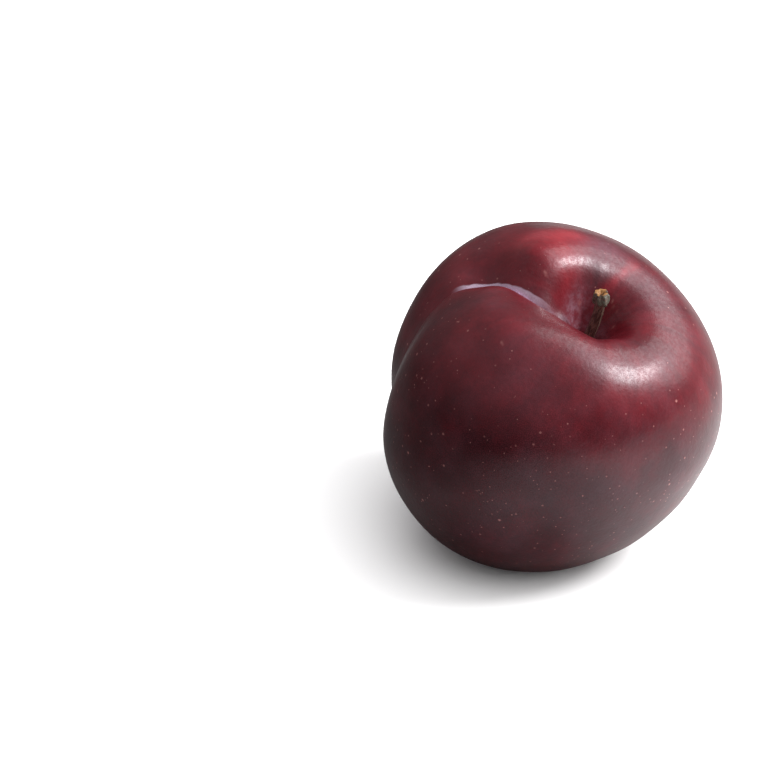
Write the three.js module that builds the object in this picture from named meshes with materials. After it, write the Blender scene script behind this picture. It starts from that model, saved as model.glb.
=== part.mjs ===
// A ripe dark plum with its short stalk, as it lies on a table.
// Millimetres, +Z up. The fruit lies tipped over a little on its blunt end, so the stalk leans
// towards -Y and +X, and it stands on a small flat spot. The origin is under the middle of the
// part, on the surface that it lies on.

import * as THREE from 'three';
import { mergeVertices } from 'three/addons/utils/BufferGeometryUtils.js';

const { degToRad, radToDeg, smoothstep } = THREE.MathUtils;

// Driving dimensions of the fruit, in millimetres from its middle, with the stalk end up
const REACH_SUTURE = 30.8; // towards the suture
const REACH_CHEEK = 32.3; // towards each cheek
const RISE = 27.3; // up to where the shoulders would meet without the stalk cavity
const DROP = 33.8; // down to the blossom end
const FULLNESS_ABOVE = 2.27; // 2 is a plain ellipse, more is fuller
const FULLNESS_BELOW = 2.12;
const CHEEK_SWELL = 0.068; // the far cheek is this share fuller
const CHEEK_SWELL_TOWARDS = -50; // degrees from the suture
const THREE_SIDES = -0.019; // how far the fruit is from round, as a share of its radius

// Stalk cavity: a wide dish with a narrower throat in it
const DISH_DEPTH = 5;
const DISH_RADIUS = 8.8;
const DISH_SKEW = 0.12; // the dish is this share wider on one side
const DISH_SKEW_TOWARDS = -103; // degrees from the suture
const THROAT_DEPTH = 8.3;
const THROAT_RADIUS = 4.3;

// Suture: a broad valley from the cavity to the blossom end, with a sharp crease along it
const VALLEY_DEPTH = 3;
const VALLEY_FAR = 6.3; // half width towards the far cheek
const VALLEY_NEAR = 8.1; // half width towards the near cheek
const VALLEY_FADE = 0.52; // share of the depth that is lost on the way down
const CREASE_DEPTH = 1.6;
const CREASE_FAR = 1.6;
const CREASE_NEAR = 0.9;
const SUTURE_SWING = 13; // degrees that the suture wanders round the fruit on its way down
const SUTURE_HOOK = 30; // degrees that it curls round the stalk as it enters the cavity

// Dimple at the blossom end
const DIMPLE_DEPTH = 0.9;
const DIMPLE_RADIUS = 2.6;

// How the fruit lies
const LEAN = 25.6; // degrees that the stalk end is tipped from upright
const LEAN_TOWARDS = -36; // degrees from +X
const SUTURE_TOWARDS = 163; // degrees from +X, before the fruit is tipped
const FLAT_DEPTH = 0.6; // how much of the round underside the flat spot takes away

// Stalk, and the hole in the cavity's bottom that its root sits in
const CLEARANCE = 0.3;
const ROOT_RADIUS = 1.3;
const ROOT_DEPTH = 1.5;
const SHAFT_RADIUS = 0.98;
const KNOB_RADIUS = 1.42;
const KNOB_ROUNDING = 0.22; // share of its radius that the knob loses at the broken end
const KNOB_CUP = 0.3; // how far the middle of the broken end is sunk in
const STALK_STRAIGHT = 8.6; // from the cavity's bottom to where the stalk starts to bend away
const STALK_BENT = 5.4;
const STALK_BEND = 22; // degrees
const STALK_BEND_TOWARDS = -19; // degrees from the suture
const RIDGE = 0.07; // height of the stalk's ridges, as a share of its radius
const RIDGES = 5;
const RIDGE_TWIST = 3; // radians that the ridges turn from root to knob

// Mesh steps
const COLUMNS = 72;
const ROWS = 50;
const COLUMN_CROWDING = 0.68; // columns stand closer near the suture
const ROW_CROWDING = 1.18; // rows lie closer near the stalk
const STALK_COLUMNS = 20;
const STALK_ROWS = 30;

const CAVITY_BOTTOM = RISE - DISH_DEPTH - THROAT_DEPTH;
const ROOT_END = CAVITY_BOTTOM - ROOT_DEPTH;
const SOCKET_RADIUS = ROOT_RADIUS + CLEARANCE;
const SOCKET_FLOOR = ROOT_END - CLEARANCE;

// A bump of height 1 at 0 that is down to a third at the given distance
function bump(distance, reach) {
  return Math.exp(-((distance / reach) ** 2));
}

// Wraps a grid of points round a closed body. place(row, turn) gives the point of a row, counted
// from the first end to the last, at a turn of -PI to PI. Each end's row is one point.
function wrap(columns, rows, place) {
  const geometry = new THREE.SphereGeometry(1, columns, rows);
  const position = geometry.attributes.position;
  const uv = geometry.attributes.uv;
  for (let i = 0; i < position.count; i += 1) {
    const row = Math.round((1 - uv.getY(i)) * rows);
    const turn = (uv.getX(i) * 2 - 1) * Math.PI;
    position.setXYZ(i, ...place(row, turn).toArray());
  }
  geometry.deleteAttribute('uv');
  geometry.deleteAttribute('normal');
  return mergeVertices(geometry);
}

// How far round the fruit the suture runs at a polar angle from the stalk end
function sutureLine(degrees) {
  const swing = degToRad(SUTURE_SWING) * smoothstep(degrees, 30, 110);
  const hook = degToRad(SUTURE_HOOK) * (1 - smoothstep(degrees, 8, 45));
  return swing + hook;
}

// Depth of the suture's valley and crease below the plain body
function sutureDepth(degrees, radius, angle) {
  const side = radius * Math.sin(angle);
  const front = smoothstep(Math.cos(angle), -0.15, 0.35);
  const near = side > 0;
  const valleyReach = near ? VALLEY_NEAR : VALLEY_FAR;
  const valleyEnds = smoothstep(degrees, 0, 14) * (1 - smoothstep(degrees, 125, 176));
  const valleyFade = 1 - VALLEY_FADE * smoothstep(degrees, 50, 150);
  const valley = VALLEY_DEPTH * bump(side, valleyReach) * valleyFade * valleyEnds;
  const creaseReach = near ? CREASE_NEAR : CREASE_FAR;
  const creaseEnds = smoothstep(degrees, 4, 16) * (1 - smoothstep(degrees, 140, 165));
  const creaseFade = 1 - 0.8 * smoothstep(degrees, 45, 75);
  const crease = CREASE_DEPTH * Math.exp(-Math.abs(side) / creaseReach) * creaseFade * creaseEnds;
  return front * (valley + crease);
}

// A point of the skin, with the stalk end up and the suture towards +X
function skinPoint(polar, turn) {
  const degrees = radToDeg(polar);
  const line = sutureLine(degrees);
  const azimuth = turn + line * (1 + Math.cos(turn)) / 2;
  const above = polar < Math.PI / 2;
  const fullness = above ? FULLNESS_ABOVE : FULLNESS_BELOW;
  const height = above ? RISE : DROP;
  const round = Math.sin(polar) ** 2;
  const share = Math.abs(Math.sin(polar)) ** (2 / fullness);
  const rise = Math.sign(Math.cos(polar)) * Math.abs(Math.cos(polar)) ** (2 / fullness);
  const swell = 1 + CHEEK_SWELL * Math.cos(azimuth - degToRad(CHEEK_SWELL_TOWARDS)) ** 3 * round;
  const sides = 1 + THREE_SIDES * Math.cos(3 * azimuth) * round;
  const point = new THREE.Vector3(
    REACH_SUTURE * share * Math.cos(azimuth) * swell * sides,
    REACH_CHEEK * share * Math.sin(azimuth) * swell * sides,
    height * rise,
  );
  const radius = Math.hypot(point.x, point.y);
  const outward = new THREE.Vector3(
    point.x / REACH_SUTURE ** 2,
    point.y / REACH_CHEEK ** 2,
    point.z / height ** 2,
  ).normalize();
  point.addScaledVector(outward, -sutureDepth(degrees, radius, azimuth - line));
  if (above) {
    const skew = 1 + DISH_SKEW * Math.cos(azimuth - degToRad(DISH_SKEW_TOWARDS));
    point.z -= DISH_DEPTH * bump(radius, DISH_RADIUS * skew) + THROAT_DEPTH * bump(radius, THROAT_RADIUS);
  } else {
    point.z += DIMPLE_DEPTH * bump(radius, DIMPLE_RADIUS);
  }
  return point;
}

// Tips a point of the upright fruit over into the way it lies
const LYING = new THREE.Matrix4()
  .makeRotationZ(degToRad(LEAN_TOWARDS))
  .multiply(new THREE.Matrix4().makeRotationY(degToRad(LEAN)))
  .multiply(new THREE.Matrix4().makeRotationZ(degToRad(SUTURE_TOWARDS - LEAN_TOWARDS)));

function makeFruit() {
  const mouthPolar = Math.asin((SOCKET_RADIUS / REACH_SUTURE) ** (FULLNESS_ABOVE / 2));
  const geometry = wrap(COLUMNS, ROWS, (row, turn) => {
    if (row === 0) {
      return new THREE.Vector3(0, 0, SOCKET_FLOOR);
    }
    const step = Math.max(row - 2, 0) / (ROWS - 2);
    const polar = mouthPolar + (Math.PI - mouthPolar) * step ** ROW_CROWDING;
    const point = skinPoint(polar, turn - COLUMN_CROWDING * Math.sin(turn));
    if (row === 1) {
      point.z = SOCKET_FLOOR;
    }
    return point;
  });
  return geometry.applyMatrix4(LYING);
}

// The stalk's middle line, straight out of the cavity and then bent towards upright
function stalkLine() {
  const bend = degToRad(STALK_BEND);
  const towards = degToRad(STALK_BEND_TOWARDS);
  const root = new THREE.Vector3(0, 0, ROOT_END);
  const knee = new THREE.Vector3(0, 0, CAVITY_BOTTOM + STALK_STRAIGHT);
  const away = new THREE.Vector3(
    Math.sin(bend) * Math.cos(towards),
    Math.sin(bend) * Math.sin(towards),
    Math.cos(bend),
  );
  return new THREE.QuadraticBezierCurve3(root, knee, knee.clone().addScaledVector(away, STALK_BENT));
}

// Radius of the stalk at a share of its length: a slightly flared root, a shaft and a broken knob
function stalkRadius(share, turn) {
  const flare = (ROOT_RADIUS / (1 + RIDGE) - SHAFT_RADIUS) * (1 - smoothstep(share, 0.05, 0.3));
  const knob = (KNOB_RADIUS - SHAFT_RADIUS) * smoothstep(share, 0.74, 0.84);
  const worn = 1 - KNOB_ROUNDING * smoothstep(share, 0.93, 1);
  const ridges = 1 + RIDGE * Math.cos(RIDGES * turn + RIDGE_TWIST * share);
  return (SHAFT_RADIUS + flare + knob) * ridges * worn;
}

function makeStalk() {
  const line = stalkLine();
  const across = new THREE.Vector3(0, 1, 0);
  const geometry = wrap(STALK_COLUMNS, STALK_ROWS, (row, turn) => {
    const brokenEnd = row === 0;
    const rootEnd = row === STALK_ROWS;
    const share = THREE.MathUtils.clamp((STALK_ROWS - 1 - row) / (STALK_ROWS - 2), 0, 1);
    const centre = line.getPointAt(share);
    const along = line.getTangentAt(share);
    const side = new THREE.Vector3().crossVectors(across, along).normalize();
    const other = new THREE.Vector3().crossVectors(along, side);
    const radius = brokenEnd || rootEnd ? 0 : stalkRadius(share, turn);
    return centre
      .addScaledVector(along, brokenEnd ? -KNOB_CUP : 0)
      .addScaledVector(side, radius * Math.cos(turn))
      .addScaledVector(other, radius * Math.sin(turn));
  });
  return geometry.applyMatrix4(LYING);
}

// Presses the round underside flat, which makes the spot that the fruit lies on, and gives its height
function pressFlat(geometry, depth) {
  geometry.computeBoundingBox();
  const level = geometry.boundingBox.min.z + depth;
  const position = geometry.attributes.position;
  for (let i = 0; i < position.count; i += 1) {
    position.setZ(i, Math.max(position.getZ(i), level));
  }
  geometry.computeBoundingBox();
  return level;
}

const skin = new THREE.MeshStandardMaterial({ color: 0x5a1420, roughness: 0.3, metalness: 0 });
const bark = new THREE.MeshStandardMaterial({ color: 0x4a3c2c, roughness: 0.85, metalness: 0 });

const fruit = new THREE.Mesh(makeFruit(), skin);
fruit.name = 'fruit';
const level = pressFlat(fruit.geometry, FLAT_DEPTH);

const stalk = new THREE.Mesh(makeStalk(), bark);
stalk.name = 'stalk';

const plum = new THREE.Group();
plum.add(fruit, stalk);
const middle = new THREE.Box3().setFromObject(plum).getCenter(new THREE.Vector3());
plum.position.set(-middle.x, -middle.y, -level);

export default plum;
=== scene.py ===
"""A ripe dark plum with its short stalk, lying on a pale studio floor.

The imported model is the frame. The fruit and the stalk are shaped again here with a finer
surface, from the same sizes as the solids that they replace, and each gets a procedural
finish. Their sizes are in millimetres in the fruit's upright frame, which has the stalk end up
and the suture towards +X. Laying a piece down turns it into the way the fruit lies, in metres.
The near cheek is the one on the +Y side of the seam, and the far cheek the other one.
"""

import logging
import math
from dataclasses import dataclass, fields, replace
from enum import Enum

import bmesh
import bpy
import numpy as np
from mathutils import Matrix, Vector, noise


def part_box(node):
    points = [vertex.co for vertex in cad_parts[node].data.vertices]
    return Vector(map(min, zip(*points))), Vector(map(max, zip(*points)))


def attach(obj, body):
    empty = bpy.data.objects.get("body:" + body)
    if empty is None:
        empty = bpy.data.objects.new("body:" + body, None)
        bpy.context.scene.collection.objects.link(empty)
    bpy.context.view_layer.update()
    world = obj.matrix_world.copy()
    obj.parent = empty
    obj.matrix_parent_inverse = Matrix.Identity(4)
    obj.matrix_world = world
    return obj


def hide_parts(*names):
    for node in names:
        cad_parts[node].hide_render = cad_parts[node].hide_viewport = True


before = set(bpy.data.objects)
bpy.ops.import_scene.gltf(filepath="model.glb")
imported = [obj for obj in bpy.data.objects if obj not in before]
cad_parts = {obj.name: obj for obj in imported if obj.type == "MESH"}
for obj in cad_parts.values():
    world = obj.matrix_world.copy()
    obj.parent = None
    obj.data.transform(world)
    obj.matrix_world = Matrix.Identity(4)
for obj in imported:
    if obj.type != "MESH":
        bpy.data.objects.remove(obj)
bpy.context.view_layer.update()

log = logging.getLogger("plum")

Colour = tuple[float, float, float, float]
Span = tuple[float, float]

MM = 0.001
BODY = "root"
BLACK: Colour = (0.0, 0.0, 0.0, 1.0)
WHITE: Colour = (1.0, 1.0, 1.0, 1.0)
WAVE_SPREAD: Span = (0.6, 1.7)


def smooth_step(start: float, end: float, value: np.ndarray) -> np.ndarray:
    """Rise smoothly from 0 at start to 1 at end."""
    share = np.clip((value - start) / (end - start), 0.0, 1.0)
    return share * share * (3.0 - 2.0 * share)


def smooth_number(start: float, end: float, value: float) -> float:
    """Rise smoothly from 0 at start to 1 at end, for a single number."""
    return float(smooth_step(start, end, np.array(value)))


def bump(distance: np.ndarray, reach: float | np.ndarray) -> np.ndarray:
    """Give a bump of height 1 at 0 that is down to about a third at the given reach."""
    return np.exp(-((distance / reach) ** 2))


def random_waves(points: np.ndarray, wavelength: float, seed: int, count: int = 28) -> np.ndarray:
    """Read a smooth random field at points, made of waves that run in random directions.

    Args:
        points: One row for each point, in millimetres.
        wavelength: Typical length of the waves, in millimetres.
        seed: What the random directions start from.
        count: How many waves are added.

    Returns:
        One value for each point, mostly from -1.5 to 1.5.
    """
    random = np.random.default_rng(seed)
    directions = random.normal(size=(count, 3))
    directions = directions / np.linalg.norm(directions, axis=1, keepdims=True)
    lengths = wavelength * random.uniform(*WAVE_SPREAD, count)
    phases = random.uniform(0.0, 2.0 * math.pi, count)
    waves = points @ (directions * (2.0 * math.pi / lengths)[:, None]).T + phases
    return math.sqrt(2.0 / count) * np.cos(waves).sum(axis=1)


@dataclass(frozen=True)
class Lie:
    """How the fruit lies: tipped from upright, with its underside pressed flat."""

    lean: float = 25.6
    lean_towards: float = -36.0
    suture_towards: float = 163.0
    flat_depth: float = 0.6

    def turn(self) -> np.ndarray:
        """Give the turn from the upright frame to the way the fruit lies."""
        towards = math.radians(self.lean_towards)
        suture = math.radians(self.suture_towards)
        tip = Matrix.Rotation(math.radians(self.lean), 3, "Y")
        return np.array(Matrix.Rotation(towards, 3, "Z") @ tip @ Matrix.Rotation(suture - towards, 3, "Z"))


@dataclass(frozen=True)
class Places:
    """Where points of the skin are in the upright frame.

    Attributes:
        points: One row for each point, in millimetres.
        degrees: Polar angle from the stalk end.
        azimuth: Azimuth from the suture plane, in radians.
        angle: Azimuth from the seam's line, in radians.
        radius: Distance from the stalk axis, in millimetres.
    """

    points: np.ndarray
    degrees: np.ndarray
    azimuth: np.ndarray
    angle: np.ndarray
    radius: np.ndarray

    @property
    def side(self) -> np.ndarray:
        """Give the distance across the seam, which is positive on the near cheek."""
        return self.radius * np.sin(self.angle)


@dataclass(frozen=True)
class Cavity:
    """The hollow that the stalk grows from: a wide dish with a narrower throat in it."""

    dish_depth: float = 5.0
    dish_radius: float = 8.8
    dish_skew: float = 0.12
    dish_skew_towards: float = -103.0
    throat_depth: float = 8.3
    throat_radius: float = 4.3
    wrinkles: int = 13
    wrinkle_height: float = 0.1
    wrinkle_start: Span = (0.4, 2.0)
    wrinkle_wander: float = 0.8
    wander_turns: int = 3

    def depth(self, places: Places) -> np.ndarray:
        """Give how deep the cavity is below the plain shoulders."""
        skew = 1.0 + self.dish_skew * np.cos(places.azimuth - math.radians(self.dish_skew_towards))
        dish = self.dish_depth * bump(places.radius, self.dish_radius * skew)
        return dish + self.throat_depth * bump(places.radius, self.throat_radius)

    def wrinkle(self, places: Places) -> np.ndarray:
        """Give the height of the small folds that run down the throat to the stalk."""
        fade = smooth_step(*self.wrinkle_start, places.radius) * bump(places.radius, self.throat_radius)
        wander = self.wrinkle_wander * np.sin(self.wander_turns * places.azimuth)
        return self.wrinkle_height * fade * np.cos(self.wrinkles * places.azimuth + wander)


@dataclass(frozen=True)
class Suture:
    """The seam down one side: a broad valley with a sharp crease along it.

    The spans along the seam are in degrees from the stalk end, and the widths in millimetres.
    """

    front: Span = (-0.15, 0.35)
    valley_depth: float = 3.0
    valley_far: float = 6.3
    valley_near: float = 8.1
    valley_start: Span = (0.0, 14.0)
    valley_end: Span = (125.0, 176.0)
    valley_fade: float = 0.52
    valley_fading: Span = (50.0, 150.0)
    crease_depth: float = 1.6
    crease_far: float = 1.6
    crease_near: float = 0.9
    crease_start: Span = (4.0, 16.0)
    crease_end: Span = (140.0, 165.0)
    crease_fade: float = 0.8
    crease_fading: Span = (45.0, 75.0)
    swing: float = 13.0
    swinging: Span = (30.0, 110.0)
    hook: float = 30.0
    hooking: Span = (8.0, 45.0)

    def line(self, degrees: np.ndarray) -> np.ndarray:
        """Give the azimuth that the seam has at a polar angle from the stalk end."""
        swing = math.radians(self.swing) * smooth_step(*self.swinging, degrees)
        return swing + math.radians(self.hook) * (1.0 - smooth_step(*self.hooking, degrees))

    def depth(self, places: Places) -> np.ndarray:
        """Give how deep the valley and the crease together are below the plain body."""
        degrees = places.degrees
        near = places.side > 0.0
        valley = self.valley_depth * bump(places.side, np.where(near, self.valley_near, self.valley_far))
        valley = valley * (1.0 - self.valley_fade * smooth_step(*self.valley_fading, degrees))
        valley = valley * smooth_step(*self.valley_start, degrees)
        valley = valley * (1.0 - smooth_step(*self.valley_end, degrees))
        crease_reach = np.where(near, self.crease_near, self.crease_far)
        crease = self.crease_depth * np.exp(-np.abs(places.side) / crease_reach)
        crease = crease * (1.0 - self.crease_fade * smooth_step(*self.crease_fading, degrees))
        crease = crease * smooth_step(*self.crease_start, degrees)
        crease = crease * (1.0 - smooth_step(*self.crease_end, degrees))
        return smooth_step(*self.front, np.cos(places.angle)) * (valley + crease)


@dataclass(frozen=True)
class Patch:
    """A patch of the skin that a mark colours, stretched along its meridian.

    Its polar angle, its azimuth and its reach along the meridian are in degrees, and its reach
    across is in millimetres.
    """

    polar: float
    azimuth: float
    reach_along: float
    reach_across: float
    strength: float

    def amount(self, places: Places) -> np.ndarray:
        """Give how strongly the patch colours each point."""
        turned = places.azimuth - math.radians(self.azimuth)
        across = places.radius * np.arctan2(np.sin(turned), np.cos(turned))
        along = places.degrees - self.polar
        return self.strength * bump(along, self.reach_along) * bump(across, self.reach_across)


@dataclass(frozen=True)
class Swell:
    """A shallow swell of the skin in millimetres, or a dent where its height is negative."""

    centre: tuple[float, float, float]
    reach: float
    height: float

    def amount(self, places: Places) -> np.ndarray:
        """Give how far the swell lifts each point."""
        distance = np.linalg.norm(places.points - np.array(self.centre), axis=1)
        return self.height * bump(distance, self.reach)


@dataclass(frozen=True)
class Group:
    """Patches or swells that work together. Each field of a subclass is one of them."""

    def total(self, places: Places) -> np.ndarray:
        """Give what all of them together do to each point."""
        return sum(getattr(self, member.name).amount(places) for member in fields(self))


@dataclass(frozen=True)
class Blush(Group):
    """Where the skin is a brighter red, or a darker one where the strength is negative."""

    far_crown: Patch = Patch(28.0, -43.0, 5.0, 5.5, 0.40)
    far_crown_low: Patch = Patch(34.0, -34.0, 5.0, 6.0, 0.22)
    far_inside: Patch = Patch(20.0, -31.0, 5.0, 3.6, 0.28)
    far_mouth: Patch = Patch(13.5, -22.0, 4.0, 2.6, 0.20)
    streak_root: Patch = Patch(9.0, -79.0, 2.0, 0.7, 0.20)
    streak_inner: Patch = Patch(12.0, -88.0, 2.5, 0.8, 0.26)
    streak_outer: Patch = Patch(16.0, -94.0, 3.0, 0.9, 0.28)
    streak_end: Patch = Patch(21.5, -98.0, 3.5, 1.1, 0.26)
    beside_streak: Patch = Patch(12.0, -60.0, 3.5, 2.6, -0.16)
    throat_wall: Patch = Patch(6.5, -28.0, 3.0, 2.8, 0.13)
    far_edge: Patch = Patch(33.0, -4.0, 8.0, 6.5, 0.12)
    right_flank: Patch = Patch(51.0, 160.0, 7.0, 8.0, 0.08)
    behind_stalk: Patch = Patch(9.0, -98.0, 3.0, 2.2, 0.12)
    dish_right: Patch = Patch(8.0, -160.0, 5.0, 5.0, 0.06)
    back_shoulder: Patch = Patch(34.0, -88.0, 7.0, 8.0, -0.10)
    near_crown: Patch = Patch(21.0, 92.0, 8.0, 8.0, 0.08)
    near_shoulder: Patch = Patch(36.0, 122.0, 9.0, 9.0, 0.09)
    right_shoulder: Patch = Patch(42.0, 172.0, 12.0, 9.0, 0.07)
    near_band: Patch = Patch(54.0, 118.0, 6.0, 10.0, -0.08)
    near_left: Patch = Patch(46.0, 42.0, 9.0, 7.0, 0.05)
    far_flank: Patch = Patch(40.0, -20.0, 9.0, 8.0, 0.11)
    near_left_low: Patch = Patch(56.0, 45.0, 9.0, 9.0, 0.08)
    seam_low: Patch = Patch(64.0, -8.0, 9.0, 8.0, 0.12)


@dataclass(frozen=True)
class WaxAndSheen(Group):
    """Where the skin's film of wax is thicker, or thinner where the strength is negative. It is partly
    painted sheen: it pales the skin where sheens lie.
    """

    # Wax film and painted sheen: these patches pale the skin where the broad sheens lie.
    far_shoulder: Patch = Patch(24.0, -72.0, 6.0, 5.0, 0.10)
    back_shoulder: Patch = Patch(22.0, -122.0, 6.0, 5.0, 0.04)
    near_middle: Patch = Patch(46.0, 75.0, 10.0, 7.0, 0.03)
    seam_mouth: Patch = Patch(18.0, -4.0, 7.0, 3.5, -0.03)


@dataclass(frozen=True)
class Relief(Group):
    """The swells and dents that make this skin uneven round the stalk and the seam."""

    far_crest: Swell = Swell((7.5, -10.0, 25.0), 9.5, 0.75)
    far_crest_corner: Swell = Swell((13.0, -5.5, 24.5), 6.5, 0.80)
    far_crest_lip: Swell = Swell((15.5, -3.5, 23.0), 3.4, 0.90)
    far_flank: Swell = Swell((24.5, -5.5, 16.5), 6.5, -0.40)
    near_shoulder: Swell = Swell((12.0, 17.0, 22.0), 6.0, 1.00)
    near_flank: Swell = Swell((23.0, 10.0, 16.5), 6.5, -0.50)
    near_crest: Swell = Swell((-5.5, 8.0, 25.0), 6.5, -0.50)
    seam_middle: Swell = Swell((20.0, -1.5, 18.0), 4.0, -0.95)
    seam_low: Swell = Swell((24.5, 1.0, 12.5), 4.0, 0.65)
    seam_bend: Swell = Swell((9.0, 2.5, 22.0), 3.8, -0.40)
    seam_mouth: Swell = Swell((6.0, 1.0, 21.0), 4.0, -1.60)
    throat_wall: Swell = Swell((4.0, -3.0, 20.5), 3.2, 0.75)
    dish_right: Swell = Swell((-7.0, -1.0, 23.5), 9.5, -0.45)


@dataclass(frozen=True)
class FlecksAndGlint(Group):
    """Single pale fleck marks, and one painted glint: a pale dot on the near cheek where a highlight shows.
    A fleck's height is how strongly it colours the skin.
    """

    throat_left: Swell = Swell((4.2, -2.9, 20.2), 0.36, 1.50)
    throat_left_low: Swell = Swell((3.2, -2.2, 19.0), 0.22, 0.80)
    behind: Swell = Swell((-1.8, -5.0, 21.2), 0.24, 1.00)
    behind_high: Swell = Swell((-1.2, -5.6, 21.9), 0.18, 0.90)
    behind_right: Swell = Swell((-2.7, -4.4, 21.1), 0.22, 0.50)
    throat_right: Swell = Swell((-3.4, -2.2, 19.4), 0.22, 0.50)
    behind_left: Swell = Swell((1.2, -4.2, 20.6), 0.20, 0.50)
    far_pair_outer: Swell = Swell((12.1, -1.0, 24.2), 0.30, 0.55)
    far_pair_inner: Swell = Swell((11.7, -0.6, 23.9), 0.24, 0.40)
    # Painted glint: a pale dot that stands in for a small highlight on the near cheek.
    near_glint: Swell = Swell((13.2, 18.8, 21.7), 0.20, 1.20)


@dataclass(frozen=True)
class Wax:
    """Where the waxy bloom stays: in the groove of the seam and in the hollow round the stalk.

    Distances across the seam, which are positive on the near cheek, and from the stalk axis are
    in millimetres. Places along the seam are in degrees from the stalk end.
    """

    front: Span = (0.0, 0.5)
    groove_width: float = 0.90
    groove_widening: float = 0.80
    groove_wide: Span = (36.0, 20.0)
    groove_wobble: float = 0.07
    wobble_length: float = 2.2
    groove_far_edge: float = 0.3
    groove_near_edge: Span = (0.6, 0.0)
    groove_start: Span = (14.0, 34.0)
    groove_end: Span = (64.0, 52.0)
    hollow_width: float = 4.8
    hollow_narrowing: float = 0.32
    hollow_widths: Span = (1.4, 3.6)
    hollow_far_edge: float = 1.6
    hollow_near_edge: Span = (0.8, 0.0)
    hollow_inner: Span = (1.0, 2.4)
    hollow_outer: Span = (14.0, 9.0)
    ring_strength: float = 0.5
    ring_inner: Span = (1.6, 2.4)
    ring_outer: Span = (3.9, 2.8)
    spot: Patch = Patch(7.0, -14.0, 3.4, 3.2, 1.0)

    def groove(self, places: Places) -> np.ndarray:
        """Give the narrow strip of wax on the far side of the groove."""
        degrees = places.degrees
        width = self.groove_width + self.groove_widening * smooth_step(*self.groove_wide, degrees)
        width = width + self.groove_wobble * random_waves(places.points, self.wobble_length, seed=7)
        strip = smooth_step(*self.groove_near_edge, places.side)
        strip = strip * smooth_step(-width, self.groove_far_edge - width, places.side)
        ends = smooth_step(*self.groove_start, degrees) * smooth_step(*self.groove_end, degrees)
        return strip * ends * smooth_step(*self.front, np.cos(places.angle))

    def hollow(self, places: Places) -> np.ndarray:
        """Give the thin wax round the stalk and on the far wall of the groove's mouth."""
        radius = places.radius
        width = np.clip(self.hollow_width - self.hollow_narrowing * radius, *self.hollow_widths)
        strip = smooth_step(-width, self.hollow_far_edge - width, places.side)
        strip = strip * smooth_step(*self.hollow_near_edge, places.side)
        strip = strip * smooth_step(*self.front, np.cos(places.angle))
        strip = strip * smooth_step(*self.hollow_outer, radius) * smooth_step(*self.hollow_inner, radius)
        ring = smooth_step(*self.ring_inner, radius) * smooth_step(*self.ring_outer, radius)
        return np.maximum(np.maximum(strip, self.ring_strength * ring), self.spot.amount(places))


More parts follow.
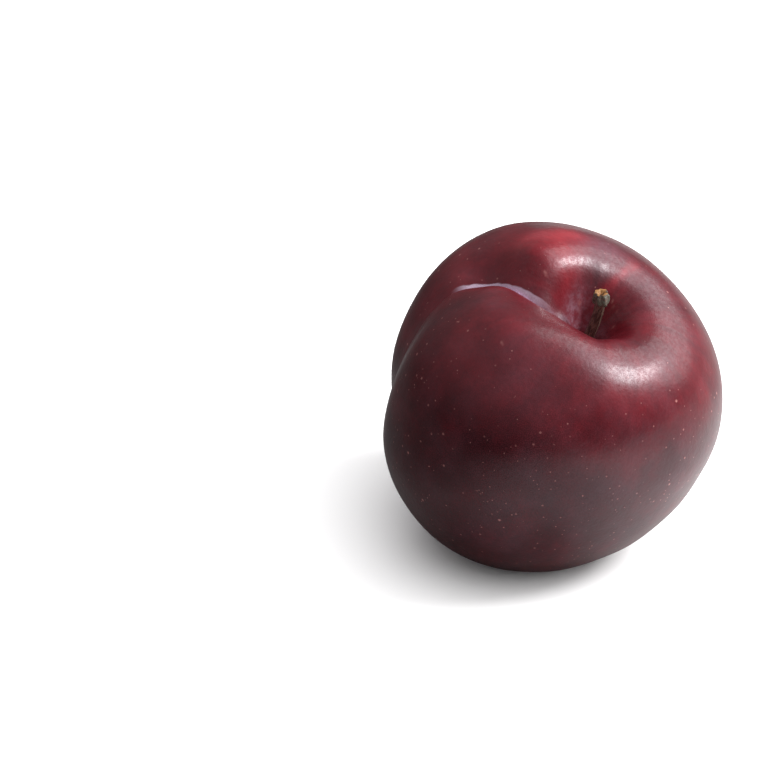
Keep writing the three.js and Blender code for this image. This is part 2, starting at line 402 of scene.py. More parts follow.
@dataclass(frozen=True)
class Fruit:
    """The fruit's own shape and its marks."""

    lie: Lie
    reach_suture: float = 30.8
    reach_cheek: float = 32.3
    rise: float = 27.3
    drop: float = 33.8
    fullness_above: float = 2.27
    fullness_below: float = 2.12
    cheek_swell: float = 0.068
    cheek_swell_towards: float = -50.0
    three_sides: float = -0.019
    dimple_depth: float = 0.9
    dimple_radius: float = 2.6
    wave_height: float = 0.05
    wave_length: float = 15.0
    # Painted shade: how much darker the skin is made on the side that lies lowest, and over what lift.
    shade: float = 0.2
    shading: Span = (0.5, -0.1)
    shade_wobble: float = 0.08
    shade_wobble_length: float = 26.0
    speckled: Span = (10.0, 95.0)
    columns: int = 336
    rows: int = 240
    column_crowding: float = 0.68
    row_crowding: float = 1.18
    cavity: Cavity = Cavity()
    suture: Suture = Suture()
    relief: Relief = Relief()
    wax: Wax = Wax()
    redness_shift: Blush = Blush()
    wax_and_sheen: WaxAndSheen = WaxAndSheen()
    flecks_and_glint: FlecksAndGlint = FlecksAndGlint()

    def place(self) -> tuple[bmesh.types.BMesh, dict[str, np.ndarray]]:
        """Shape a sphere into the upright fruit.

        Returns:
            The shaped mesh in millimetres and the marks of its vertices.
        """
        shape = bmesh.new()
        bmesh.ops.create_uvsphere(shape, u_segments=self.columns, v_segments=self.rows, radius=1.0)
        start = np.array([vertex.co for vertex in shape.verts])
        polar = math.pi * (np.arccos(np.clip(start[:, 2], -1.0, 1.0)) / math.pi) ** self.row_crowding
        turn = np.arctan2(start[:, 1], start[:, 0])
        turn = turn - self.column_crowding * np.sin(turn)
        places, marks = self.skin(polar, turn)
        for vertex, place in zip(shape.verts, places):
            vertex.co = place
        return shape, marks

    def skin(self, polar: np.ndarray, turn: np.ndarray) -> tuple[np.ndarray, dict[str, np.ndarray]]:
        """Give the skin's points and marks.

        Args:
            polar: Polar angle from the stalk end, in radians.
            turn: Turn round the stalk axis, in radians, which is 0 on the seam.

        Returns:
            One row for each point in millimetres, and the marks by name.
        """
        degrees = np.degrees(polar)
        line = self.suture.line(degrees)
        azimuth = turn + line * (1.0 + np.cos(turn)) / 2.0
        above = polar < math.pi / 2.0
        power = 2.0 / np.where(above, self.fullness_above, self.fullness_below)
        height = np.where(above, self.rise, self.drop)
        round_share = np.sin(polar) ** 2
        share = np.abs(np.sin(polar)) ** power
        swell_turn = azimuth - math.radians(self.cheek_swell_towards)
        share = share * (1.0 + self.cheek_swell * np.cos(swell_turn) ** 3 * round_share)
        share = share * (1.0 + self.three_sides * np.cos(3.0 * azimuth) * round_share)
        points = np.stack([
            self.reach_suture * share * np.cos(azimuth),
            self.reach_cheek * share * np.sin(azimuth),
            height * np.sign(np.cos(polar)) * np.abs(np.cos(polar)) ** power,
        ], axis=1)
        radius = np.hypot(points[:, 0], points[:, 1])
        reaches = np.stack([
            np.full_like(height, self.reach_suture), np.full_like(height, self.reach_cheek), height,
        ], axis=1)
        outward = points / reaches ** 2
        outward = outward / np.linalg.norm(outward, axis=1, keepdims=True)
        places = Places(points, degrees, azimuth, azimuth - line, radius)
        wave = self.wave_height * random_waves(points, self.wave_length, seed=5)
        wave = wave + self.cavity.wrinkle(places)
        points = points + outward * (wave - self.suture.depth(places))[:, None]
        points[:, 2] -= np.where(above, self.cavity.depth(places), 0.0)
        points[:, 2] += np.where(above, 0.0, self.dimple_depth * bump(radius, self.dimple_radius))
        relief = self.relief.total(replace(places, points=points))
        points = points + outward * relief[:, None]
        return points, self.marks(replace(places, points=points))

    def marks(self, places: Places) -> dict[str, np.ndarray]:
        """Give the marks that the finish reads: the upright points and the masks."""
        # Painted shade: the skin is made darker towards the side that lies lowest, where shade falls, and
        # this is taken off the redness shift.
        lying = places.points @ self.lie.turn().T
        lift = lying[:, 2] / np.linalg.norm(lying, axis=1)
        lift = lift + self.shade_wobble * random_waves(places.points, self.shade_wobble_length, seed=9)
        shade = self.shade * smooth_step(*self.shading, lift)
        return {
            "upright": places.points,
            "groove_wax": self.wax.groove(places),
            "hollow_wax": self.wax.hollow(places),
            "redness_shift": self.redness_shift.total(places) - shade,
            "wax_and_sheen": self.wax_and_sheen.total(places),
            "specks": smooth_step(*self.speckled, places.degrees),
            "flecks_and_glint": np.clip(self.flecks_and_glint.total(places), 0.0, 1.0),
        }

    def build(self, finish: bpy.types.Material) -> tuple[bpy.types.Object, Vector]:
        """Make the fruit where the frame has it.

        Args:
            finish: The skin's material.

        Returns:
            The fruit and the place of its middle, in metres.
        """
        shape, marks = self.place()
        lying = np.array([vertex.co for vertex in shape.verts]) @ self.lie.turn().T
        level = lying[:, 2].min() + self.lie.flat_depth
        lying[:, 2] = np.maximum(lying[:, 2], level)
        low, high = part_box("fruit")
        middle = (lying.min(axis=0) + lying.max(axis=0)) / 2.0
        shift = np.array([
            (low[0] + high[0]) / 2.0 / MM - middle[0],
            (low[1] + high[1]) / 2.0 / MM - middle[1],
            low[2] / MM - level,
        ])
        for vertex, place in zip(shape.verts, (lying + shift) * MM):
            vertex.co = place
        fruit = new_piece("plum_fruit", shape, finish)
        for name, values in marks.items():
            add_mark(fruit.data, name, values)
        return fruit, Vector(shift * MM)


@dataclass(frozen=True)
class Stalk:
    """The short woody stalk, with ridges, a lumpy knob and a broken end.

    The spans and the bud's place along the stalk are shares of its length. The caps are shares
    of the rows of its mesh, and close its root and its broken end.
    """

    lie: Lie
    cavity_bottom: float = 14.0
    root_depth: float = 1.5
    root_aside: tuple[float, float] = (-0.50, -0.18)
    straight: float = 7.9
    bent: float = 5.2
    bend: float = 25.0
    bend_towards: float = -8.0
    root_radius: float = 1.25
    root_flare: Span = (0.05, 0.3)
    shaft_radius: float = 0.9
    knob_radius: float = 1.42
    knob_start: Span = (0.76, 0.83)
    worn: float = 0.16
    worn_end: Span = (0.95, 1.0)
    ridge: float = 0.075
    ridges: int = 7
    twist: float = 2.4
    bud_turn: float = 125.0
    bud_width: float = 0.45
    bud_share: float = 0.87
    bud_length: float = 0.075
    bud_height: float = 0.34
    lump_height: float = 0.16
    lumpy: Span = (0.74, 0.84)
    rough_scale: float = 1.7
    rough_along: float = 6.0
    rough_octaves: int = 3
    cup_depth: float = 0.45
    cup_rim: Span = (0.25, 0.8)
    cup_roughness: float = 0.2
    root_cap: float = 0.04
    end_cap: float = 0.12
    columns: int = 96
    rows: int = 150

    def line(self, share: float) -> tuple[Vector, Vector]:
        """Give the place and the direction of the stalk's middle line at a share of its length."""
        root = Vector((*self.root_aside, self.cavity_bottom - self.root_depth))
        knee = Vector((*self.root_aside, self.cavity_bottom + self.straight))
        bend = math.radians(self.bend)
        towards = math.radians(self.bend_towards)
        aside = math.sin(bend)
        away = Vector((aside * math.cos(towards), aside * math.sin(towards), math.cos(bend)))
        tip = knee + away * self.bent
        place = root * (1.0 - share) ** 2 + knee * (2.0 * share * (1.0 - share)) + tip * share ** 2
        along = (knee - root) * (1.0 - share) + (tip - knee) * share
        return place, along.normalized()

    def radius(self, share: float, turn: float) -> float:
        """Give the stalk's radius at a share of its length and a turn round it."""
        flare = (self.root_radius - self.shaft_radius) * (1.0 - smooth_number(*self.root_flare, share))
        knob = (self.knob_radius - self.shaft_radius) * smooth_number(*self.knob_start, share)
        worn = 1.0 - self.worn * smooth_number(*self.worn_end, share)
        ridges = 1.0 + self.ridge * math.cos(self.ridges * turn + self.twist * share)
        return (self.shaft_radius + flare + knob) * ridges * worn

    def point(self, start: Vector) -> tuple[Vector, float]:
        """Give where a point of the starting sphere goes.

        Args:
            start: The point on a sphere of radius 1, whose lower end becomes the root.

        Returns:
            The place in the upright frame, and the share of the length, which goes on to 2
            across the broken end.
        """
        row = 1.0 - math.acos(max(-1.0, min(1.0, start.z))) / math.pi
        turn = math.atan2(start.y, start.x)
        share = min(1.0, max(0.0, (row - self.root_cap) / (1.0 - self.root_cap - self.end_cap)))
        cap = max(0.0, (row - 1.0 + self.end_cap) / self.end_cap)
        root_cap = max(0.0, (self.root_cap - row) / self.root_cap)
        place, along = self.line(share)
        side = Vector((0.0, 1.0, 0.0)).cross(along).normalized()
        spot = side * math.cos(turn) + along.cross(side) * math.sin(turn)
        rough_place = Vector((spot.x, spot.y, share * self.rough_along)) * self.rough_scale
        rough = noise.fractal(rough_place, 1.0, 2.0, self.rough_octaves, noise_basis="PERLIN_ORIGINAL")
        lump = self.lump_height * smooth_number(*self.lumpy, share) * rough
        bud_aside = (1.0 - math.cos(turn - math.radians(self.bud_turn))) / self.bud_width
        bud_along = (share - self.bud_share) / self.bud_length
        lump = (lump + self.bud_height * math.exp(-bud_aside - bud_along ** 2)) * (1.0 - cap)
        radius = self.radius(share, turn) * (1.0 - cap) * (1.0 - root_cap)
        cup = self.cup_roughness * cap * rough - self.cup_depth * smooth_number(*self.cup_rim, cap)
        return place + along * cup + spot * (radius + lump * min(1.0, radius)), share + cap

    def build(self, finish: bpy.types.Material, middle: Vector) -> bpy.types.Object:
        """Make the stalk where the fruit holds it.

        Args:
            finish: The bark's material.
            middle: The place of the fruit's middle, in metres.

        Returns:
            The stalk.
        """
        shape = bmesh.new()
        bmesh.ops.create_uvsphere(shape, u_segments=self.columns, v_segments=self.rows, radius=1.0)
        lying = Matrix(self.lie.turn().tolist())
        upright = []
        shares = []
        for vertex in shape.verts:
            place, share = self.point(vertex.co)
            upright.append(place)
            shares.append(share)
            vertex.co = lying @ place * MM + middle
        stalk = new_piece("plum_stalk", shape, finish)
        add_mark(stalk.data, "upright", np.array(upright))
        add_mark(stalk.data, "share", np.array(shares))
        return stalk


def new_piece(name: str, shape: bmesh.types.BMesh, finish: bpy.types.Material) -> bpy.types.Object:
    """Turn a shape into a smooth object with a finish.

    Args:
        name: The piece's name.
        shape: The piece's mesh in metres, in place. It is freed.
        finish: The piece's material.

    Returns:
        The new object, linked to the scene.
    """
    bmesh.ops.recalc_face_normals(shape, faces=shape.faces)
    mesh = bpy.data.meshes.new(name)
    shape.to_mesh(mesh)
    shape.free()
    mesh.shade_smooth()
    mesh.materials.append(finish)
    piece = bpy.data.objects.new(name, mesh)
    bpy.context.scene.collection.objects.link(piece)
    return piece


def add_mark(mesh: bpy.types.Mesh, name: str, values: np.ndarray) -> None:
    """Keep one number or one vector for each vertex of a mesh."""
    vector = values.ndim == 2
    attribute = mesh.attributes.new(name, "FLOAT_VECTOR" if vector else "FLOAT", "POINT")
    attribute.data.foreach_set("vector" if vector else "value", values.astype(np.float32).ravel())


@dataclass(frozen=True)
class Cloud:
    """A cloudy noise from 0 to 1, and how far it sways what it feeds."""

    scale: float
    detail: float
    roughness: float
    sway: float = 0.0


class Wire:
    """One output socket of a board, with arithmetic that adds Math nodes."""

    def __init__(self, board: "Board", socket: bpy.types.NodeSocket) -> None:
        """Hold the socket and the board that it is on."""
        self.board = board
        self.socket = socket

    def math(self, operation: str, *values: "Wire | float") -> "Wire":
        """Add a Math node that works on this wire and other values."""
        sockets = dict(enumerate((self, *values)))
        return self.board.node("ShaderNodeMath", {"operation": operation}, sockets)

    def __add__(self, other: "Wire | float") -> "Wire":
        """Add."""
        return self.math("ADD", other)

    def __sub__(self, other: "Wire | float") -> "Wire":
        """Take away."""
        return self.math("SUBTRACT", other)

    def __rsub__(self, other: float) -> "Wire":
        """Take from a number."""
        return self.board.node("ShaderNodeMath", {"operation": "SUBTRACT"}, {0: other, 1: self})

    def __mul__(self, other: "Wire | float") -> "Wire":
        """Multiply."""
        return self.math("MULTIPLY", other)

    __radd__ = __add__
    __rmul__ = __mul__

    def step(self, start: float, end: float, low: float = 0.0, high: float = 1.0) -> "Wire":
        """Rise smoothly from low at start to high at end."""
        settings = {"interpolation_type": "SMOOTHSTEP"}
        return self.board.node("ShaderNodeMapRange", settings, {0: self, 1: start, 2: end, 3: low, 4: high})

    def between(self, low: float, high: float) -> "Wire":
        """Rise evenly from low where this is 0 to high where it is 1."""
        return low + (high - low) * self

    def swayed(self, cloud: Cloud) -> "Wire":
        """Give how far the cloud that this wire reads sways what it feeds."""
        return (self - 0.5) * cloud.sway

    def clamped(self) -> "Wire":
        """Keep the value between 0 and 1."""
        return self.board.node("ShaderNodeClamp", {}, {0: self})


class Board:
    """The nodes of a material or of a world."""

    def __init__(self, owner: bpy.types.Material | bpy.types.World) -> None:
        """Start with no nodes."""
        self.owner = owner
        self.owner.use_nodes = True
        self.tree = owner.node_tree
        self.tree.nodes.clear()

    def add(self, kind: str, settings: dict, sockets: dict) -> bpy.types.Node:
        """Add a node.

        Args:
            kind: The node's type.
            settings: Its properties, which are set first. A ramp's stops are under "stops".
            sockets: Values or wires of its input sockets, by number or name.

        Returns:
            The node.
        """
        node = self.tree.nodes.new(kind)
        for name, value in settings.items():
            if name == "stops":
                self.set_stops(node.color_ramp, value)
            else:
                setattr(node, name, value)
        for key, value in sockets.items():
            if isinstance(value, Wire):
                self.tree.links.new(value.socket, node.inputs[key])
            else:
                node.inputs[key].default_value = value
        return node

    def node(self, kind: str, settings: dict, sockets: dict, output: int | str = 0) -> Wire:
        """Add a node and give one of its outputs."""
        return Wire(self, self.add(kind, settings, sockets).outputs[output])

    @staticmethod
    def set_stops(ramp: bpy.types.ColorRamp, stops: list[tuple[float, Colour]]) -> None:
        """Give a ramp its stops."""
        while len(ramp.elements) < len(stops):
            ramp.elements.new(1.0)
        for element, (place, colour) in zip(ramp.elements, stops):
            element.position = place
            element.color = colour

    def mark(self, name: str, output: str = "Fac") -> Wire:
        """Read a mark of the piece."""
        return self.node("ShaderNodeAttribute", {"attribute_name": name}, {}, output)

    def vector(self, operation: str, first: Wire, second: Wire | tuple[float, float, float]) -> Wire:
        """Work on two vectors."""
        return self.node("ShaderNodeVectorMath", {"operation": operation}, {0: first, 1: second})

    def part(self, vector: Wire, number: int) -> Wire:
        """Give one part of a vector: 0, 1 or 2."""
        return self.node("ShaderNodeSeparateXYZ", {}, {0: vector}, number)

    def cloud(self, place: Wire, cloud: Cloud) -> Wire:
        """Read a cloud at a place."""
        return self.node("ShaderNodeTexNoise", {}, {
            "Vector": place, "Scale": cloud.scale, "Detail": cloud.detail, "Roughness": cloud.roughness,
        })

    def blend(self, factor: Wire | float, first: Wire | Colour, second: Wire | Colour) -> Wire:
        """Blend two colours."""
        settings = {"data_type": "RGBA", "clamp_factor": True}
        return self.node("ShaderNodeMix", settings, {0: factor, 6: first, 7: second}, 2)

    def relief(self, height: Wire, strength: float, distance: float) -> Wire:
        """Give the normals of a small relief whose full height is a distance in metres."""
        sockets = {"Strength": strength, "Distance": distance, "Height": height}
        return self.node("ShaderNodeBump", {}, sockets)

    def finish(
        self, shader: bpy.types.Node, output_kind: str = "ShaderNodeOutputMaterial",
    ) -> bpy.types.Material | bpy.types.World:
        """Connect the surface and give the material or the world."""
        output = self.tree.nodes.new(output_kind)
        self.tree.links.new(shader.outputs[0], output.inputs["Surface"])
        return self.owner


@dataclass(frozen=True)
class SpeckLayer:
    """One layer of specks: its cells to a millimetre, their radius and how many cells have one."""

    scale: float
    size: float
    share: float


@dataclass(frozen=True)
class SkinFinish:
    """Dark maroon skin with red patches, faint streaks, pale specks and a trace of wax."""

    dark: Colour = (0.028, 0.0035, 0.0060, 1.0)
    plum: Colour = (0.075, 0.0035, 0.0080, 1.0)
    maroon: Colour = (0.150, 0.0045, 0.0115, 1.0)
    red: Colour = (0.270, 0.0110, 0.0210, 1.0)
    bright: Colour = (0.470, 0.0350, 0.0480, 1.0)
    speck: Colour = (0.640, 0.250, 0.230, 1.0)
    wax: Colour = (0.840, 0.650, 0.820, 1.0)
    plum_from: float = 0.35
    maroon_from: float = 0.55
    red_from: float = 0.75
    redness: float = 0.55
    blotch: Cloud = Cloud(0.06, 2.0, 0.5, sway=0.30)
    mottle: Cloud = Cloud(0.17, 3.0, 0.6, sway=0.30)
    grain: Cloud = Cloud(0.9, 3.0, 0.6, sway=0.14)
    broad_streaks: Cloud = Cloud(5.0, 3.0, 0.55, sway=0.22)
    fine_streaks: Cloud = Cloud(14.0, 2.0, 0.55, sway=0.12)
    streak_stretch: float = 0.02
    large_specks: SpeckLayer = SpeckLayer(scale=0.42, size=0.26, share=0.95)
    small_specks: SpeckLayer = SpeckLayer(scale=0.75, size=0.15, share=0.90)
    speck_radii: Span = (0.85, 1.50)
    speck_edge: float = 0.8
    speck_base: float = 0.12
    speck_choice: Span = (-0.02, 0.03)
    speck_strengths: Span = (0.45, 1.00)
    speck_cover: float = 0.9
    scratch: Cloud = Cloud(1.1, 4.0, 0.65)
    scratched: Span = (0.36, 0.66)
    groove_cover: Span = (0.63, 1.78)
    hollow_cover: Span = (0.05, 0.21)
    wax_and_sheen_cover: Span = (0.2, 1.8)
    film: Cloud = Cloud(0.12, 4.0, 0.6)
    filmed: Span = (0.35, 0.8)
    film_cover: Span = (0.0, 0.03)
    roughness: float = 0.37
    mottle_roughness: float = 0.08
    wax_roughness: float = 0.25
    pores: Cloud = Cloud(1.6, 2.0, 0.5)
    pore_relief: float = 0.8
    mottle_relief: float = 2.4
    streak_relief: float = 0.3
    relief_strength: float = 0.4
    relief_distance: float = 0.00010
    ior: float = 1.5
    specular: float = 0.44
    specular_tint: Colour = (1.0, 0.86, 0.95, 1.0)
    coat: float = 0.26
    coat_roughness: float = 0.18
    glints: Cloud = Cloud(1.3, 3.0, 0.7)
    glinting: Span = (0.36, 0.64)
    glint_fading: Span = (0.0, 0.35)
    glint_strengths: Span = (0.40, 0.04)

    def streak_place(self, board: Board, upright: Wire) -> Wire:
        """Give the place whose noise runs in streaks from the stalk to the blossom end."""
        flat = board.vector("MULTIPLY", upright, (1.0, 1.0, 0.0))
        around = board.node("ShaderNodeVectorMath", {"operation": "NORMALIZE"}, {0: flat})
        along = board.vector("MULTIPLY", upright, (0.0, 0.0, self.streak_stretch))
        return board.vector("ADD", around, along)

    def speck_layer(self, board: Board, upright: Wire, amount: Wire, layer: SpeckLayer) -> Wire:
        """Give the mask of one layer of pale breathing specks, where amount says how many."""
        sockets = {"Vector": upright, "Scale": layer.scale}
        cells = board.add("ShaderNodeTexVoronoi", {"feature": "F1"}, sockets)
        distance = Wire(board, cells.outputs["Distance"]) * (1.0 / layer.scale)
        random = Wire(board, cells.outputs["Color"])
        pick = board.node("ShaderNodeSeparateColor", {}, {0: random}, 0)
        spread = board.node("ShaderNodeSeparateColor", {}, {0: random}, 1)
        radius = spread.between(*self.speck_radii) * layer.size
        dot = (1.0 - distance.math("DIVIDE", radius)).step(0.0, self.speck_edge)
        here = (amount * layer.share + self.speck_base - pick).step(*self.speck_choice)
        return dot * here * spread.between(*self.speck_strengths)

    def make(self) -> bpy.types.Material:
        """Make the material."""
        board = Board(bpy.data.materials.new("plum_skin"))
        upright = board.mark("upright", "Vector")
        speckled = board.mark("specks")
        streaks = self.streak_place(board, upright)
        broad = board.cloud(streaks, self.broad_streaks)
        fine = board.cloud(streaks, self.fine_streaks)
        blotch = board.cloud(upright, self.blotch)
        mottle = board.cloud(upright, self.mottle)
        grain = board.cloud(upright, self.grain)
        redness = self.redness + blotch.swayed(self.blotch) + mottle.swayed(self.mottle)
        redness = redness + broad.swayed(self.broad_streaks) + fine.swayed(self.fine_streaks)
        # The redness shift mark holds the red patches less the painted shade on the lowest side.
        redness = redness + grain.swayed(self.grain) + board.mark("redness_shift")
        colour = board.node("ShaderNodeValToRGB", {"stops": [
            (0.0, self.dark),
            (self.plum_from, self.plum),
            (self.maroon_from, self.maroon),
            (self.red_from, self.red),
            (1.0, self.bright),
        ]}, {0: redness})
        large = self.speck_layer(board, upright, speckled, self.large_specks)
        small = self.speck_layer(board, upright, speckled, self.small_specks)
        colour = board.blend(large.math("MAXIMUM", small) * self.speck_cover, colour, self.speck)
        # The pale flecks and the one painted glint take the speck colour.
        colour = board.blend(board.mark("flecks_and_glint"), colour, self.speck)
        scratch = board.cloud(upright, self.scratch)
        wax = board.mark("groove_wax") * scratch.between(*self.groove_cover)
        wax = wax + board.mark("hollow_wax") * scratch.step(*self.scratched, *self.hollow_cover)
        wax = wax + board.cloud(upright, self.film).step(*self.filmed, *self.film_cover)
        # The wax and sheen mark pales the skin with its film of wax and with painted sheen.
        wax = (wax + board.mark("wax_and_sheen") * scratch.between(*self.wax_and_sheen_cover)).clamped()
        colour = board.blend(wax, colour, self.wax)
        roughness = self.roughness + (mottle - 0.5) * self.mottle_roughness + wax * self.wax_roughness
        height = board.cloud(upright, self.pores) * self.pore_relief
        height = height + mottle * self.mottle_relief + fine * self.streak_relief
        glints = board.cloud(upright, self.glints).step(*self.glinting) - 0.5
        coat = self.coat + glints * speckled.step(*self.glint_fading, *self.glint_strengths)
        shader = board.add("ShaderNodeBsdfPrincipled", {}, {
            "Base Color": colour,
            "Roughness": roughness,
            "IOR": self.ior,
            "Specular IOR Level": self.specular,
            "Specular Tint": self.specular_tint,
            "Coat Weight": coat,
            "Coat Roughness": self.coat_roughness,
            "Normal": board.relief(height, self.relief_strength, self.relief_distance),
        })
        return board.finish(shader)


@dataclass(frozen=True)
class BarkFinish:
    """Dry brown bark with dark furrows, a grey-green knob and a tan broken end.

    The spans of the knob and the end are shares of the stalk's length.
    """

    furrow: Colour = (0.080, 0.042, 0.034, 1.0)
    bark: Colour = (0.260, 0.165, 0.125, 1.0)
    knob: Colour = (0.150, 0.145, 0.108, 1.0)
    wood: Colour = (0.560, 0.270, 0.090, 1.0)
    pith: Colour = (0.070, 0.024, 0.008, 1.0)
    fibre: Cloud = Cloud(2.6, 4.0, 0.65)
    fibre_stretch: float = 0.22
    furrowed: Span = (0.38, 0.66)
    lumps: Cloud = Cloud(1.5, 3.0, 0.6, sway=0.20)
    knob_start: Span = (0.76, 0.82)
    knob_lumps: Span = (0.35, 0.6)
    end_start: Span = (0.98, 1.05)
    grain: Cloud = Cloud(0.9, 3.0, 0.6)
    woody: Span = (0.40, 0.58)
    roughness: float = 0.42
    lump_roughness: float = 0.3
    lump_relief: float = 0.6
    relief_strength: float = 0.6
    relief_distance: float = 0.0002

    def make(self) -> bpy.types.Material:
        """Make the material."""
        board = Board(bpy.data.materials.new("stalk_bark"))
        upright = board.mark("upright", "Vector")
        share = board.mark("share")
        fibre = board.cloud(board.vector("MULTIPLY", upright, (1.0, 1.0, self.fibre_stretch)), self.fibre)
        lumps = board.cloud(upright, self.lumps)
        colour = board.blend(fibre.step(*self.furrowed), self.furrow, self.bark)
        on_knob = share.step(*self.knob_start) * lumps.step(*self.knob_lumps)
        colour = board.blend(on_knob, colour, self.knob)
        end = board.blend(board.cloud(upright, self.grain).step(*self.woody), self.pith, self.wood)
        on_end = (share + lumps.swayed(self.lumps)).step(*self.end_start)
        colour = board.blend(on_end, colour, end)
        height = fibre + lumps * self.lump_relief
        shader = board.add("ShaderNodeBsdfPrincipled", {}, {
            "Base Color": colour,
            "Roughness": self.roughness + (lumps - 0.5) * self.lump_roughness,
            "Normal": board.relief(height, self.relief_strength, self.relief_distance),
        })
        return board.finish(shader)


class Light(Enum):
    """The studio's lamps."""

    KEY = "key"
    HALO = "halo"
    TABLE = "table"
    FILL = "fill"


@dataclass(frozen=True)
class Lamp:
    """A soft elliptical lamp that looks at the fruit, in degrees, metres and watts."""

    name: Light
    bearing: float
    elevation: float
    distance: float
    width: float
    height: float
    power: float

    def build(self, aim: Vector, lit: list[bpy.types.Object]) -> None:
        """Hang the lamp, turn it to where it aims and let it light some pieces only."""
        bearing = math.radians(self.bearing)
        elevation = math.radians(self.elevation)
        towards = Vector((
            math.sin(bearing) * math.cos(elevation),
            math.cos(bearing) * math.cos(elevation),
            math.sin(elevation),
        ))
        data = bpy.data.lights.new(f"studio_{self.name.value}", "AREA")
        data.shape = "ELLIPSE"
        data.size = self.width
        data.size_y = self.height
        data.energy = self.power
        lamp = bpy.data.objects.new(data.name, data)
        lamp.location = aim + towards * self.distance
        lamp.rotation_euler = (-towards).to_track_quat("-Z", "Y").to_euler()
        bpy.context.scene.collection.objects.link(lamp)
        group = bpy.data.collections.new(f"lit_by_{lamp.name}")
        for piece in lit:
            group.objects.link(piece)
        lamp.light_linking.receiver_collection = group


@dataclass(frozen=True)
class Floor:
    """The floor: pale for the camera, and graded in what the skin mirrors and gets of it.

    Distances are in metres from the frame's origin. The mirrored tone rises from the left to the
    right, and falls again far right, towards the front, behind the fruit and under its left side.
    The low tones are painted darkness that the skin mirrors, and the fall under the fruit's left
    side is painted shade.
    """

    half_width: float = 3.0
    seen_tone: float = 0.93
    left: Span = (-0.075, 0.01)
    left_tones: Span = (0.06, 0.38)
    right: Span = (0.01, 0.045)
    right_gain: float = 0.26
    far_right: Span = (0.06, 0.13)
    far_right_loss: float = 0.20
    front: Span = (-0.19, -0.08)
    front_tone: float = 0.08
    behind: Span = (0.02, 0.09)
    behind_from_left: Span = (-0.01, 0.03)
    behind_loss: float = 0.4
    under: Span = (-0.055, -0.025)
    under_from_left: Span = (-0.05, -0.02)
    under_to_right: Span = (0.0, 0.02)
    under_loss: float = 0.75

    def build(self) -> bpy.types.Object:
        """Lay the floor."""
        shape = bmesh.new()
        bmesh.ops.create_grid(shape, x_segments=1, y_segments=1, size=self.half_width)
        board = Board(bpy.data.materials.new("studio_floor"))
        place = board.node("ShaderNodeTexCoord", {}, {}, "Object")
        across = board.part(place, 0)
        away = board.part(place, 1)
        mirrored = across.step(*self.left, *self.left_tones)
        mirrored = mirrored + across.step(*self.right, 0.0, self.right_gain)
        mirrored = mirrored - across.step(*self.far_right, 0.0, self.far_right_loss)
        behind = away.step(*self.behind) * across.step(*self.behind_from_left)
        mirrored = mirrored * away.step(*self.front, self.front_tone, 1.0)
        mirrored = mirrored * (1.0 - self.behind_loss * behind)
        # Painted shade: the tone that the skin mirrors and takes up is lowered under the fruit's left side.
        under = away.step(*self.under) * across.step(*self.under_from_left)
        under = under * across.step(*self.under_to_right, 1.0, 0.0)
        mirrored = mirrored * (1.0 - self.under_loss * under)
        seen = board.node("ShaderNodeLightPath", {}, {}, "Is Camera Ray")
        tone = mirrored + seen * (self.seen_tone - mirrored)
        shader = board.add("ShaderNodeBsdfDiffuse", {}, {"Color": board.blend(tone, BLACK, WHITE)})
        floor = new_piece("studio_floor", shape, board.finish(shader))
        return floor


@dataclass(frozen=True)
class Room:
    """The light of the room, dim at the horizon and brighter overhead, and a white backdrop."""

    tint: Colour = (1.0, 0.97, 0.99, 1.0)
    rise: Span = (-0.1, 0.9)
    brightness: Span = (0.12, 0.42)
    backdrop: Colour = (0.8, 0.8, 0.8, 1.0)
    backdrop_brightness: float = 1.2

    def build(self) -> None:
        """Fill the room with light."""
        board = Board(bpy.data.worlds.new("studio"))
        height = board.part(board.node("ShaderNodeTexCoord", {}, {}, "Generated"), 2)
        brightness = height.step(*self.rise, *self.brightness)
        seen = board.node("ShaderNodeLightPath", {}, {}, "Is Camera Ray")
        mix = board.add("ShaderNodeMixShader", {}, {
            0: seen,
            1: board.node("ShaderNodeBackground", {}, {0: self.tint, 1: brightness}),
            2: board.node("ShaderNodeBackground", {}, {0: self.backdrop, 1: self.backdrop_brightness}),
        })
        bpy.context.scene.world = board.finish(mix, "ShaderNodeOutputWorld")


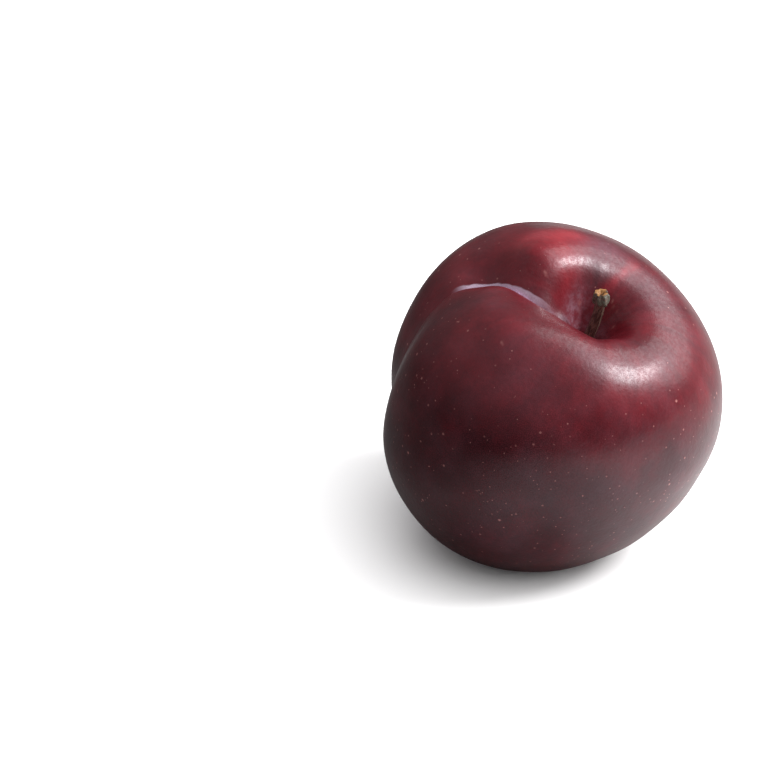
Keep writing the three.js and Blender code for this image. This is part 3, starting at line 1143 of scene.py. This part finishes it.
@dataclass(frozen=True)
class View:
    """The camera. Its distance is in millimetres, its clipping in metres and its offsets in pixels."""

    elevation: float = 30.0
    distance: float = 600.0
    millimetres_per_pixel: float = 0.1834
    image_width: float = 768.0
    sensor: float = 36.0
    middle_right: float = 167.26
    middle_down: float = 11.88
    clip_start: float = 0.01
    clip_end: float = 20.0

    def build(self, middle: Vector) -> None:
        """Put the camera where the photograph's view has it, from the fruit's middle in metres."""
        elevation = math.radians(self.elevation)
        right = Vector((1.0, 0.0, 0.0))
        up = Vector((0.0, math.sin(elevation), math.cos(elevation)))
        back = Vector((0.0, -math.cos(elevation), math.sin(elevation)))
        pixel = self.millimetres_per_pixel * MM
        data = bpy.data.cameras.new("view")
        data.sensor_width = self.sensor
        data.lens = self.sensor * self.distance * MM / (self.image_width * pixel)
        data.clip_start = self.clip_start
        data.clip_end = self.clip_end
        camera = bpy.data.objects.new("view", data)
        offset = up * self.middle_down * pixel - right * self.middle_right * pixel
        camera.location = middle + back * self.distance * MM + offset
        camera.rotation_euler = (math.pi / 2.0 - elevation, 0.0, 0.0)
        bpy.context.scene.collection.objects.link(camera)
        bpy.context.scene.camera = camera


@dataclass(frozen=True)
class Studio:
    """The floor, the room, the lamps and the camera."""

    floor: Floor = Floor()
    room: Room = Room()
    view: View = View()
    lamps: tuple[Lamp, ...] = (
        Lamp(Light.KEY, bearing=85.0, elevation=40.5, distance=0.60, width=0.25, height=0.14, power=2.05),
        Lamp(Light.HALO, bearing=67.0, elevation=38.0, distance=0.62, width=0.64, height=0.62, power=2.40),
        Lamp(Light.TABLE, bearing=102.0, elevation=49.0, distance=1.80, width=0.80, height=0.80, power=33.0),
        Lamp(Light.FILL, bearing=150.0, elevation=62.0, distance=2.00, width=3.00, height=3.00, power=85.0),
    )

    def build(self, middle: Vector, part: list[bpy.types.Object]) -> None:
        """Set the studio up round the part.

        Args:
            middle: The place of the fruit's middle, in metres.
            part: The pieces of the part.
        """
        floor = self.floor.build()
        self.room.build()
        lit = {Light.KEY: part, Light.HALO: part, Light.TABLE: [floor], Light.FILL: [floor]}
        for lamp in self.lamps:
            lamp.build(middle, lit[lamp.name])
        self.view.build(middle)
        bpy.context.scene.view_settings.view_transform = "Standard"


def main() -> None:
    """Build the fruit, the stalk and the studio in order."""
    logging.basicConfig(level=logging.INFO, format="%(name)s: %(message)s")
    lie = Lie()
    fruit, middle = Fruit(lie).build(SkinFinish().make())
    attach(fruit, BODY)
    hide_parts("fruit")
    log.info("%s has %d faces", fruit.name, len(fruit.data.polygons))
    stalk = Stalk(lie).build(BarkFinish().make(), middle)
    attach(stalk, BODY)
    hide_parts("stalk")
    log.info("%s has %d faces", stalk.name, len(stalk.data.polygons))
    Studio().build(middle, [fruit, stalk])


if __name__ == "__main__":
    main()
